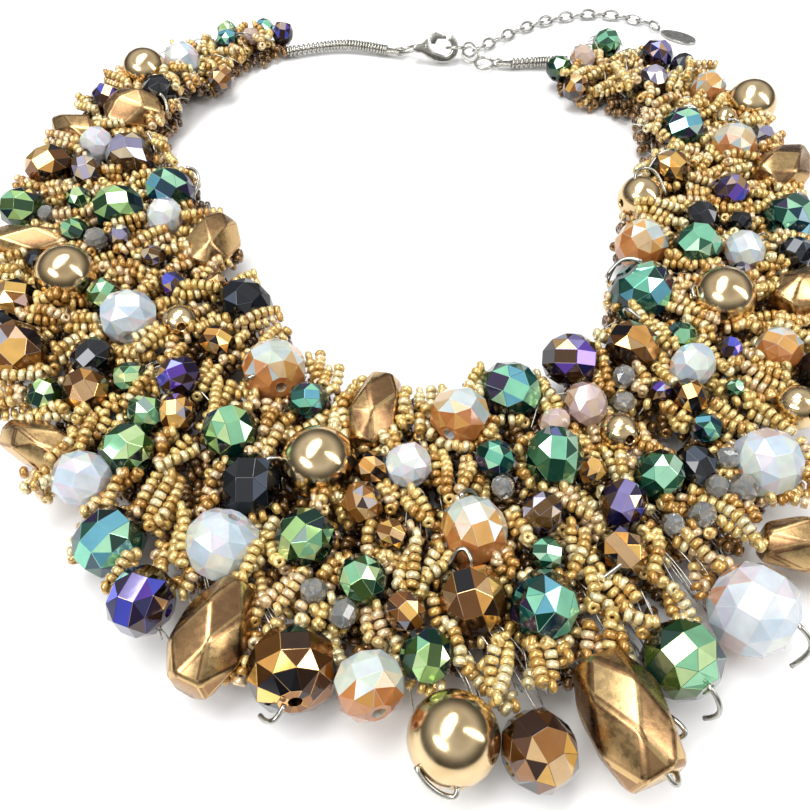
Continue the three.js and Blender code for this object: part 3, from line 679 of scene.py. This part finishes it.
def string_seeds():
    """Lays the loops of seed beads and returns each bead's place, the way it points and its tone."""
    dice = random.Random(5)
    seeds = []
    string = 0
    for height, count, depth in SEED_LAYERS:
        for _ in range(count):
            string += 1
            along = dice.uniform(0.1, len(RIBS) - 1.1)
            across = dice.uniform(0.0, 0.99 - 0.12 * depth)
            x, y = on_collar(along, across)
            back = 3.5 if along < 3 or along > 31 else 0.0
            level = max(height + dice.uniform(-0.8, 0.8) - back, 1.3)
            tone = dice.random()
            before = None
            loop = []
            route = loop_route(x, y, level, across > 0.72, dice)
            for place in route:
                settled = pushed_clear(place)
                if (settled is None or not inside_collar(settled.x, settled.y)
                        or not SEED_FLOOR < settled.z < SEED_CEILING):
                    before = None
                    continue
                way = settled - before if before is not None else Vector((1, 0.3, 0))
                before = settled
                if way.length >= 0.5 and room_for(settled, string):
                    loop.append((settled, way.normalized(), (tone + dice.uniform(0, 0.35)) % 1, depth))
            if depth == 0 and len(loop) < len(route) * WHOLE_ENOUGH:
                continue
            for seed in loop:
                seed_cells.setdefault(seed_cell(seed[0]), []).append((seed[0], string))
            seeds.extend(loop)
    return seeds


def seed_shape():
    """One seed bead: a small drilled ring, round on the outside."""
    half = SEED_WIDTH / 2
    profile = [(half * 0.36, -half * 0.56), (half * 0.86, -half * 0.44), (half, 0.0),
               (half * 0.86, half * 0.44), (half * 0.36, half * 0.56)]
    return spun(profile, 7)


def silver_lined():
    material, nodes, links, shader = finish("silver_lined_gold_glass", Metallic=0.4, Roughness=0.15,
                                            Coat_Weight=1.0, Coat_Roughness=0.03)
    mask = speckle(nodes, links, shader, 900.0, 0.05)
    tinted_speckle(nodes, links, mask, 0.6, shader.inputs["Base Color"])
    return material


# The seed beads' own tones, then darker tones that paint shade onto the lower layers
SEED_TONES_AND_PAINTED_SHADE = [
    [paint(246, 214, 136), paint(234, 198, 116), paint(252, 234, 178), paint(216, 170, 88),
     paint(240, 206, 134), paint(242, 210, 162), paint(198, 146, 66)],
    [paint(120, 84, 36), paint(88, 60, 26), paint(148, 106, 50)],
]
seed_finish = silver_lined()
seed_mould = bpy.data.meshes.new("seed_mould")
first_seed = seed_shape()
first_seed.to_mesh(seed_mould)
first_seed.free()
seed_faces = len(seed_mould.polygons)
seeds = string_seeds()
for order in range(1, 9):
    joined = bmesh.new()
    tones = []
    for place, way, toss, depth in seeds:
        if mesh_length(place.x, place.y) != order:
            continue
        turned = Vector((0, 0, 1)).rotation_difference(way).to_matrix().to_4x4()
        matrix = Matrix.Translation(charted(*place)) @ turned
        seed_mould.transform(matrix)
        joined.from_mesh(seed_mould)
        seed_mould.transform(matrix.inverted())
        # Lower layers take the darker tones: painted shade beneath the upper layers
        tones.append(SEED_TONES_AND_PAINTED_SHADE[depth][int(toss * len(SEED_TONES_AND_PAINTED_SHADE[depth]))])
    piece = make_piece(f"seed_beads_{order}", joined, [seed_finish], [f"bead_mesh_{order}"])
    tint = piece.data.attributes.new("tint", "FLOAT_COLOR", "FACE")
    tint.data.foreach_set("color", [part for tone in tones for _ in range(seed_faces) for part in tone])

# ---------------------------------------------------------------- crochet wire
# Fine silver-plated wire that the seed beads are crocheted on. It shows as tight bundles of
# straight strands in the gaps, most of all below the middle of the neck.
FINE_WIRE = 0.32 * MM
# Bundles drawn one by one: x, y in mm, bearing in degrees, length in mm
WIRE_BUNDLES = [
    (12, -44, -58, 16), (18, -38, -55, 14), (26, -36, -60, 15), (30, -38, -56, 13), (8, -49, -64, 10),
    (21, -30, -50, 10), (44, -30, -62, 12), (50, -32, -60, 9), (38, -39, -70, 8), (54, -34, -50, 7),
    (-3, -50, -80, 8), (-24, -42, -60, 10), (-13, -34, -20, 9), (-37, -30, -80, 9), (-20, -24, -100, 8),
    (46, -10, -40, 10), (42, -22, -50, 7), (50, -24, -40, 8), (30, -22, -65, 9), (6, -10, -75, 8),
    (-33, -14, -95, 9), (-24, 2, -110, 8), (-56, -6, 170, 9), (-48, 12, 200, 9), (-62, 36, 190, 8),
    (-70, 68, 180, 8), (-62, 78, 150, 9), (60, 20, 30, 8), (61, 26, 40, 8), (62, 38, 20, 8),
    (84, 62, 0, 8), (82, 82, 10, 8), (66, 108, 60, 7), (-44, -22, -120, 8), (2, -22, -90, 7),
]


def bent_wires(name, strands, width, plate, nodes, closed=False, sides=2):
    """Round wires, each along its own smooth line of places in metres, as one mesh piece."""
    line = bpy.data.curves.new(name, "CURVE")
    line.dimensions = "3D"
    line.bevel_depth = width / 2
    line.bevel_resolution = sides
    line.resolution_u = 4
    line.use_fill_caps = True
    for strand in strands:
        spline = line.splines.new("NURBS")
        spline.points.add(len(strand) - 1)
        for point, place in zip(spline.points, strand):
            point.co = (*place, 1)
        spline.order_u = 3
        spline.use_endpoint_u = not closed
        spline.use_cyclic_u = closed
    drawn = linked(name + "_line", line)
    mesh = bpy.data.meshes.new_from_object(drawn.evaluated_get(bpy.context.evaluated_depsgraph_get()))
    bpy.data.objects.remove(drawn)
    bpy.data.curves.remove(line)
    mesh.materials.clear()
    shape = bmesh.new()
    shape.from_mesh(mesh)
    bpy.data.meshes.remove(mesh)
    bmesh.ops.remove_doubles(shape, verts=shape.verts, dist=1e-8)
    bmesh.ops.recalc_face_normals(shape, faces=shape.faces)
    make_piece(name, shape, [plate[0]], nodes)


def silver_plate(name, tone, low_rough, high_rough):
    material, nodes, links, shader = finish(name, Metallic=1.0)
    mask = speckle(nodes, links, shader, 700.0, 0.06)
    ramp(nodes, links, mask, [(0.3, paint(*[t - 26 for t in tone])), (0.7, paint(*tone))],
         shader.inputs["Base Color"])
    ramp(nodes, links, mask, [(0.3, grey(low_rough)), (0.7, grey(high_rough))], shader.inputs["Roughness"])
    return material


SILVER = (silver_plate("bright_silver_plate", (190, 188, 180), 0.18, 0.3), "silver_wire")
dice = random.Random(21)
strands = {}
for x, y, bearing, length in WIRE_BUNDLES:
    for strand in range(dice.randint(4, 7)):
        angle = math.radians(bearing + dice.uniform(-9, 9))
        aside = dice.uniform(-1.8, 1.8)
        way = Vector((math.cos(angle), math.sin(angle), 0))
        side = Vector((-way.y, way.x, 0))
        start = Vector((x, y, dice.uniform(6.2, 8.6))) + side * aside
        reach = length * dice.uniform(0.8, 1.2)
        middle = start + way * reach / 2 + side * dice.uniform(-1, 1)
        middle = middle + Vector((0, 0, dice.uniform(0.5, 1.6)))
        end = start + way * reach + Vector((0, 0, dice.uniform(-4, -1)))
        strands.setdefault(mesh_length(x, y), []).append([charted(*p) for p in (start, middle, end)])
for seam in range(240):
    along = dice.uniform(0.2, len(RIBS) - 1.2)
    x, y = on_collar(along, dice.uniform(0.05, 0.95))
    angle = dice.uniform(0, math.tau)
    way = Vector((math.cos(angle), math.sin(angle), 0)) * dice.uniform(2.5, 5.5)
    middle = Vector((x, y, dice.uniform(6, 9.5)))
    lift = Vector((0, 0, dice.uniform(1.0, 2.6)))
    places = (middle - way - lift, middle - way * 0.3, middle + way * 0.4, middle + way - lift)
    strands.setdefault(mesh_length(x, y), []).append([charted(*place) for place in places])
for order, lines in sorted(strands.items()):
    bent_wires(f"crochet_wire_{order}", lines, FINE_WIRE, SILVER, [f"bead_mesh_{order}"], sides=1)

# ---------------------------------------------------------------- edge wire loops
# Heavier round wire that hooks out of a drilled hole at the edge, round the bead and back.
HEAVY_WIRE = 0.85 * MM
# Each loop as three to five places in mm
EDGE_LOOPS = [
    [(40.2, -60, 8), (42.2, -62.2, 9), (41.4, -63.2, 7.5), (38.5, -63.5, 6)],
    [(45.6, -56.6, 12), (47.2, -58.4, 11), (47.8, -60.2, 8), (46.2, -59.4, 5.5)],
    [(62, -47, 12), (64, -48.6, 11), (64.4, -50.4, 8.5), (62, -51.2, 5.5)],
    [(50.4, 32.6, 17.4), (48.6, 34.2, 17.2), (45.4, 34, 16), (43.6, 32.4, 13)],
    [(47.5, 24, 9.4), (46, 24.6, 11.5), (48, 22.6, 12.5), (50, 20.8, 11)],
    [(67.2, 76, 14.4), (65.8, 77.6, 14.8), (62.6, 76.4, 13.5), (60.6, 73.8, 10.5)],
    [(77.8, 96.5, 13.6), (76.5, 98.6, 14.4), (73, 98.6, 13), (71, 97, 10)],
    [(62, 27, 12), (61.2, 29.5, 12.8), (62.6, 30.5, 12.6)],
    [(11, -36.5, 12.4), (10.6, -34.2, 13.6), (8.2, -34, 12.6), (7.2, -36, 9.6)],
    [(-29.5, 4.6, 12.6), (-31.5, 3.6, 12.4), (-32.4, 5.6, 10)],
    [(-53.8, 71.5, 13.6), (-51.6, 72, 13), (-50.6, 69.6, 10.4), (-52.8, 66.4, 8)],
    [(-66.6, 86.8, 13.4), (-65, 86, 12.4), (-64.6, 83.4, 9.8)],
    [(64.5, 66, 8.6), (62.6, 70.6, 13), (58, 71.6, 14), (55.2, 67, 13.4), (56.6, 61.5, 10)],
    [(74.8, 119, 10), (72.4, 122.6, 11.5), (68.6, 121.8, 11), (67, 118, 9)],
    [(84.6, 92.2, 13.6), (86.4, 93.6, 13.8), (88.6, 92, 12.4)],
    [(36.8, -35.6, 12), (34.6, -37.6, 12), (31.6, -38.4, 9.4)],
    [(-66.5, 104.5, 14), (-64.4, 104, 12.6), (-64.8, 101.6, 10)],
]
# Loops that hook out of a bead's own hole, each place in mm from the bead's middle
HOLE_LOOPS = [
    ("gold_ball_4", [(0.4, -6.2, -0.6), (0.3, -7.8, -0.8), (-0.8, -7.9, -1.2), (-2.6, -7.3, -0.9),
                     (-4.8, -5.9, 0.6), (-5.6, -4.4, 1.5)]),
    ("copper_crystal_2", [(-0.5, -6.2, 2.2), (-1.4, -8.4, 1.8), (-3.4, -8.4, 0.4), (-4.6, -6.6, -1.8)]),
    ("teal_crystal_4", [(-1, 4, 5.4), (-3, 6.4, 4.4), (-6, 5.4, 3), (-7, 3, 0)]),
    ("opal_3", [(-2.4, 4.5, 4.4), (-1.4, 6.4, 4), (0.8, 6.6, 2.4), (1.2, 6, 0)]),
    ("black_crystal_2", [(3.2, 2.8, 4.6), (5.6, 4.2, 3.8), (6.6, 2.6, 1.6), (6.2, 1, -0.8)]),
    ("teal_crystal_5", [(1.6, 4.6, 4.4), (3.6, 6.2, 3.4), (5.4, 4.6, 1), (5.6, 3, -1)]),
    ("gold_nugget_8", [(3.4, -8, 2.4), (4.6, -10.2, 1.4), (6.2, -9, 0), (6, -6.4, -1.6)]),
]
loops = {}
for name, loop in HOLE_LOOPS:
    middle = (node_middle(name) - CHART) / MM
    EDGE_LOOPS.append([tuple(middle + Vector(place)) for place in loop])
for loop in EDGE_LOOPS:
    x, y, _ = loop[0]
    loops.setdefault(mesh_length(x, y), []).append([charted(*place) for place in loop])
for order, lines in sorted(loops.items()):
    bent_wires(f"edge_loops_{order}", lines, HEAVY_WIRE, SILVER, [f"bead_mesh_{order}"])

# ---------------------------------------------------------------- wire-wrapped ends
# The strands gather into one cord at each end, bound with close turns of the same wire. Past
# the binding the twisted strands are hammered flat to take a jump ring.
LEFT_WRAP = [(-37, 148.4, 2.4), (-27, 151.5, 2.4), (-19, 152.5, 2.6), (-12, 151.5, 2.4), (-5.6, 150, 2)]
RIGHT_WRAP = [(50, 142, 2.8), (44.5, 142.5, 2.4), (40, 142.5, 2.2), (33, 142, 2)]


def along_line(places, t):
    """A point a fraction t along a smooth line through places, and the way it runs there."""
    last = len(places) - 1
    step = min(int(t * last), last - 1)
    f = t * last - step
    p = [Vector(places[min(max(step + k, 0), last)]) for k in (-1, 0, 1, 2)]
    point = 0.5 * (2 * p[1] + (p[2] - p[0]) * f + (2 * p[0] - 5 * p[1] + 4 * p[2] - p[3]) * f * f
                   + (3 * p[1] - p[0] - 3 * p[2] + p[3]) * f ** 3)
    return point, (p[2] - p[1]).normalized()


def binding(places, turns, out, per_turn=9):
    """A helix of close turns round a line."""
    route = []
    for i in range(turns * per_turn + 1):
        point, way = along_line(places, i / (turns * per_turn))
        side = way.cross(Vector((0, 0, 1))).normalized()
        top = side.cross(way)
        angle = i / per_turn * math.tau
        route.append(charted(*(point + side * math.cos(angle) * out + top * math.sin(angle) * out)))
    return route


def twisted_flat(start, end, strands_count):
    """Twisted strands hammered flat: wires that weave across one another, wide but thin."""
    start, end = Vector(start), Vector(end)
    way = (end - start).normalized()
    side = Vector((-way.y, way.x, 0))
    routes = []
    for strand in range(strands_count):
        phase = strand / strands_count * math.tau
        route = []
        for i in range(13):
            f = i / 12
            swing = math.sin(phase + f * 9.0)
            rise = math.cos(phase + f * 9.0)
            narrow = 1.25 - 0.5 * f
            place = start + (end - start) * f + side * swing * narrow + Vector((0, 0, rise * 0.4))
            route.append(charted(*place))
        routes.append(route)
    return routes


def upright_eye(middle, across=3.0):
    """The small standing eye that the strands end in."""
    return [charted(middle[0] + across / 2 * math.cos(i / 10 * math.tau), middle[1],
                    middle[2] + 0.3 + across * 0.42 * math.sin(i / 10 * math.tau)) for i in range(10)]


# Which end, its line, its tip and how many turns bind it
WRAPPED_ENDS = [("left", LEFT_WRAP, (-1.6, 149, 2.0), 31), ("right", RIGHT_WRAP, (28.6, 142.2, 1.9), 16)]
for side_name, wrap, tip, turns in WRAPPED_ENDS:
    node = f"wire_wrap_{side_name}"
    core = [charted(*along_line(wrap, i / 8)[0]) for i in range(9)]
    bent_wires(f"{node}_core", [core], 2.2 * MM, SILVER, [node])
    bent_wires(f"{node}_turns", [binding(wrap, turns, 1.3)], 0.84 * MM, SILVER, [node], sides=1)
    bent_wires(f"{node}_flat", twisted_flat(wrap[-1], tip, 5), 0.7 * MM, SILVER, [node], sides=1)
    bent_wires(f"{node}_eye", [upright_eye(tip)], 0.7 * MM, SILVER, [node], closed=True)

# ---------------------------------------------------------------- rings and chain
# Round jump rings join the ends to the clasp. The extender is a cable chain of oval links with
# a ring and a bare flat tag on its end.


def ring_route(middle, across, lean, turn, long_way=1.0, points=12):
    """A closed round or oval line of places, leaned about X and then turned about Z."""
    place = Matrix.Rotation(math.radians(turn), 3, "Z") @ Matrix.Rotation(math.radians(lean), 3, "X")
    route = []
    for i in range(points):
        angle = i / points * math.tau
        out = Vector((math.cos(angle) * across / 2 * long_way, math.sin(angle) * across / 2, 0))
        route.append(charted(*(Vector(middle) + place @ out)))
    return route


def ring_between(start, end, wide, points=12):
    """A closed oval of places that reaches from one place to another, wide mm across."""
    start, end = Vector(start), Vector(end)
    across = (end - start).cross(Vector((0, 0, 1))).normalized()
    return [charted(*((start + end) / 2 + (end - start) / 2 * math.cos(i / points * math.tau)
                      + across * wide / 2 * math.sin(i / points * math.tau))) for i in range(points)]


RING_WIRE = 0.9 * MM
for node, route in (
    ("jump_ring_left", ring_between((-1.6, 149.2, 2.0), (4.3, 146.4, 4.9), 4.6)),
    ("jump_ring_right", ring_route((24.6, 142.8, 1.7), 5.6, 8, 0)),
    ("jump_ring_hook", ring_route((15.6, 146.4, 4.8), 5.6, -28, 0)),
):
    bent_wires(f"{node}_wire", [route], RING_WIRE, SILVER, [node], closed=True)
bent_wires("hook_wires", [
    ring_route((20.4, 145.4, 3.0), 4.6, 62, -28, 1.2), ring_route((20.2, 148.6, 3.0), 4.4, 50, 40, 1.15),
], 0.7 * MM, SILVER, ["jump_ring_hook"], closed=True)

CHAIN_ROUTE = [(22.5, 151, 1.8), (29, 157, 1.6), (36, 163, 1.6), (43, 168, 1.6), (50, 171.5, 1.6),
               (58, 174, 1.6), (66, 174.5, 1.6), (74, 172.5, 1.6), (80, 169, 1.6)]
LINK_COUNT = 17
links_of_chain = []
for link in range(LINK_COUNT):
    point, way = along_line(CHAIN_ROUTE, (link + 0.5) / LINK_COUNT)
    bearing = math.degrees(math.atan2(way.y, way.x))
    links_of_chain.append(ring_route(tuple(point), 3.1, 40 if link % 2 else -30, bearing, 1.62))
CHAIN = (silver_plate("bright_chain_plate", (184, 183, 178), 0.16, 0.28), "silver_chain")
bent_wires("chain_links", links_of_chain, 0.78 * MM, CHAIN, ["extender_chain"], closed=True)
bent_wires("tag_ring_wire", [ring_route((82.2, 166.6, 1.7), 3.7, 25, 50)], 0.8 * MM, CHAIN, ["tag_ring"],
           closed=True)


def cut_plate(outline, thickness, soft):
    """A plate from its outline in mm, its top and bottom edges rounded over."""
    shape = bmesh.new()
    shape.faces.new([shape.verts.new((x, y, -thickness / 2)) for x, y in outline])
    raised = bmesh.ops.extrude_face_region(shape, geom=shape.faces[:])
    bmesh.ops.translate(shape, verts=[v for v in raised["geom"] if isinstance(v, bmesh.types.BMVert)],
                        vec=(0, 0, thickness))
    rounded(shape, [e for e in shape.edges if abs(e.verts[0].co.z - e.verts[1].co.z) < 1e-6], soft)
    return shape


# The tag: a flat blank, narrower towards its ring, with a soft edge
TAG_CORNERS = 48
TAG_HALF_LENGTH, TAG_HALF_WIDTH, TAG_THICK, TAG_TAPER = 6.0, 3.5, 0.8, 0.22
tag_outline = []
for i in range(TAG_CORNERS):
    along = math.cos(i / TAG_CORNERS * math.tau)
    half_width = TAG_HALF_WIDTH * (1 - TAG_TAPER * (1 - along) / 2)
    tag_outline.append((along * TAG_HALF_LENGTH, math.sin(i / TAG_CORNERS * math.tau) * half_width))
tag_shape = cut_plate(tag_outline, TAG_THICK, 0.2)
bmesh.ops.transform(tag_shape, verts=tag_shape.verts,
                    matrix=Matrix.Rotation(math.radians(-37), 4, "Z") @ Matrix.Diagonal((MM, MM, MM, 1)))
bmesh.ops.recalc_face_normals(tag_shape, faces=tag_shape.faces)
centre_on(tag_shape, node_middle("tag"))
make_piece("tag_blank", tag_shape, [CHAIN[0]], ["tag"], smooth=False)

# ---------------------------------------------------------------- lobster clasp
# A cast clasp that leans up on its edge: an eye, a wedge-shaped body and an open hook. A lever
# on a rivet closes the hook's mouth and a spring inside the body holds it shut.
CLASP_MIDDLE = (9.6, 146.4, 4.8)
CLASP_LEAN = 62


def onto_clasp(shape):
    """Places a shape drawn flat in mm about the clasp's own middle."""
    place = (Matrix.Translation(charted(*CLASP_MIDDLE)) @ Matrix.Rotation(math.radians(CLASP_LEAN), 4, "X")
             @ Matrix.Diagonal((MM, MM, MM, 1)))
    bmesh.ops.transform(shape, matrix=place, verts=shape.verts)
    bmesh.ops.recalc_face_normals(shape, faces=shape.faces)


def arc(middle, radius, start, end, steps):
    """Points on an arc, angles in degrees."""
    return [(middle[0] + math.cos(math.radians(start + (end - start) * i / steps)) * radius,
             middle[1] + math.sin(math.radians(start + (end - start) * i / steps)) * radius)
            for i in range(steps + 1)]


body_outline = [
    (-7, 0.8), (-7, -0.8), (-6, -1.45), (-4.4, -1.6), (-2.6, -2.7), (-0.6, -3.8), (1.2, -4.25),
    *arc((2.7, 0), 4.3, -90, 65, 14), *arc((2.7, 0), 2.2, 65, -90, 12),
    (1.2, -1.75), (0, -1.4), (-1.1, -0.8), (-1.9, 0.3), (-2.6, 2.6), (-4.4, 1.7), (-6, 1.45),
]
clasp_shape = cut_plate(body_outline, 2.6, 0.55)
onto_clasp(clasp_shape)
make_piece("clasp_casting", clasp_shape, [SILVER[0]], ["clasp_body"])
rivet = bmesh.new()
bmesh.ops.create_cone(rivet, cap_ends=True, segments=16, radius1=0.55, radius2=0.55, depth=3.0)
bmesh.ops.translate(rivet, verts=rivet.verts, vec=(-3.1, 0.4, 0))
onto_clasp(rivet)
make_piece("clasp_rivet", rivet, [SILVER[0]], ["clasp_body"])
lever_outline = [(-2.0, 3.1), (-1.5, 1.1), (-0.3, 0.9), (0.6, 2.5), (3.1, 2.45), (3.3, 3.4), (1.0, 4.1),
                 (-0.2, 4.6), (-1.2, 4.3)]
lever_shape = cut_plate(lever_outline, 1.7, 0.3)
onto_clasp(lever_shape)
make_piece("clasp_lever_casting", lever_shape, [SILVER[0]], ["clasp_lever"], body="lever")

# ---------------------------------------------------------------- stage
# The necklace lies on a pale, plain table under soft lights, seen from the front and above.
table = bmesh.new()
bmesh.ops.create_grid(table, x_segments=1, y_segments=1, size=12.0)
table_mesh = bpy.data.meshes.new("table")
table.to_mesh(table_mesh)
table.free()
table_top = linked("table", table_mesh)
table_finish, *_ = finish("white_table", Base_Color=(0.92, 0.92, 0.92, 1), Roughness=0.6)
table_mesh.materials.append(table_finish)

world = bpy.data.worlds.new("studio")
bpy.context.scene.world = world
world.use_nodes = True
sky = world.node_tree.nodes["Background"]
sky.inputs["Strength"].default_value = 1.0
direction = world.node_tree.nodes.new("ShaderNodeTexCoord")
split = world.node_tree.nodes.new("ShaderNodeSeparateXYZ")
world.node_tree.links.new(direction.outputs["Generated"], split.inputs[0])
ramp(world.node_tree.nodes, world.node_tree.links, split.outputs["Z"],
     [(0.0, grey(0.3)), (0.08, grey(0.06)), (0.3, grey(0.2)), (0.62, grey(0.75)), (1.0, grey(0.5))],
     sky.inputs["Color"])
bpy.context.scene.view_settings.view_transform = "Standard"


def soft_light(name, place, target, width, height, power):
    light = bpy.data.lights.new(name, "AREA")
    light.shape = "ELLIPSE"
    light.size = width
    light.size_y = height
    light.energy = power
    lamp = linked(name, light)
    lamp.location = place
    lamp.rotation_euler = (Vector(target) - Vector(place)).to_track_quat("-Z", "Y").to_euler()


soft_light("window", (-0.15, 0.08, 0.72), (0, 0, 0), 0.9, 0.35, 4.6)
soft_light("side_panel", (0.5, -0.15, 0.45), (0, 0, 0), 0.15, 0.7, 1.8)
soft_light("front_panel", (-0.4, -0.4, 0.5), (0, 0, 0), 0.5, 0.2, 2.2)

camera_data = bpy.data.cameras.new("camera")
camera = linked("camera", camera_data)
bpy.context.scene.camera = camera
camera.location = charted(0, -102.5, 135.6)
camera.rotation_euler = (math.radians(39), 0, 0)
camera_data.lens = 36.9
camera_data.clip_start = 0.005
